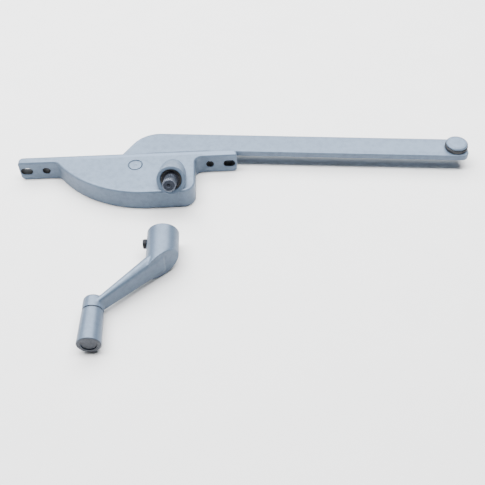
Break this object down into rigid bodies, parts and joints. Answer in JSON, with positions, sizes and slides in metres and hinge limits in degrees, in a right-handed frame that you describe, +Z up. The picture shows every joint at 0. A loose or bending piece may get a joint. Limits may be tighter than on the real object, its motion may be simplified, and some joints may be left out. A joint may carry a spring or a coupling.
{
  "type": "casement window operator",
  "caption": "Casement window operator: low die-cast housing with two screw ears, long swinging arm with a guide roller, tilted splined crank shaft, and a loose crank handle with a turning knob.",
  "frame": {"origin": "on the mounting face, in line with the arm's pivot, at the underside", "axes": "+X along the window frame towards the arm's tip, +Y out of the mounting face, away from the housing, +Z up, out of the underside's opposite face"},
  "size_m": [0.3382, 0.1904, 0.0361],
  "materials": {
    "housing_paint": "satin silver blue paint on a die casting",
    "arm_paint": "satin silver blue paint on steel",
    "handle_paint": "satin grey blue paint on a die casting",
    "knob_paint": "satin grey blue paint",
    "plated_steel": "zinc plated",
    "gear_steel": "plain steel",
    "dark_steel": "oiled dark steel",
    "black_steel": "black oxide",
    "bronze": "sintered bronze",
    "black_nylon": "black nylon"
  },
  "bodies": {
    "housing": {"housing": "housing_paint", "base_plate": "plated_steel", "base_screws": "plated_steel", "shaft_bushing": "bronze", "thrust_pad": "plated_steel", "pivot_pin": "housing_paint", "upper_washer": "plated_steel", "lower_spacer": "plated_steel"},
    "arm": {"arm": "arm_paint", "gear_sector": "gear_steel", "gear_rivets": "gear_steel", "pivot_bushing": "bronze", "guide_stud": "arm_paint"},
    "guide_roller": {"guide_roller": "black_nylon"},
    "crank_shaft": {"crank_shaft": "dark_steel", "worm": "dark_steel", "shaft_ring": "black_steel"},
    "handle": {"handle": "handle_paint", "knob_pin": "plated_steel", "knob_washer": "black_nylon"},
    "knob": {"knob": "knob_paint"},
    "set_screw": {"set_screw": "black_steel"}
  },
  "joints": [
    {"name": "arm_swing", "type": "hinge", "parent": "housing", "child": "arm", "pos_m": [0, -0.0135, 0.0109], "axis": [0, 0, 1], "range_deg": [0, 95]},
    {"name": "crank_turn", "type": "hinge", "parent": "housing", "child": "crank_shaft", "pos_m": [0.0274, -0.0383, 0.0225], "axis": [0, 0.848, -0.5299], "range_deg": [0, 3420]},
    {"name": "roller_spin", "type": "hinge", "parent": "arm", "child": "guide_roller", "pos_m": [0.24101, -0.0051, 0.0147], "axis": [0, 0, 1], "continuous": true},
    {"name": "handle_lift", "type": "slide", "parent": "housing", "child": "handle", "axis": [0, 0, 1], "range_m": [0, 0.12]},
    {"name": "knob_spin", "type": "hinge", "parent": "handle", "child": "knob", "pos_m": [-0.0204, -0.15255, 0.0078], "axis": [0, -1, 0], "continuous": true},
    {"name": "set_screw_in", "type": "slide", "parent": "handle", "child": "set_screw", "axis": [1, 0, 0], "range_m": [0, 0.002]}
  ],
  "couplings": [
    {"joint": "crank_turn", "follows": "arm_swing", "ratio": 36}
  ]
}
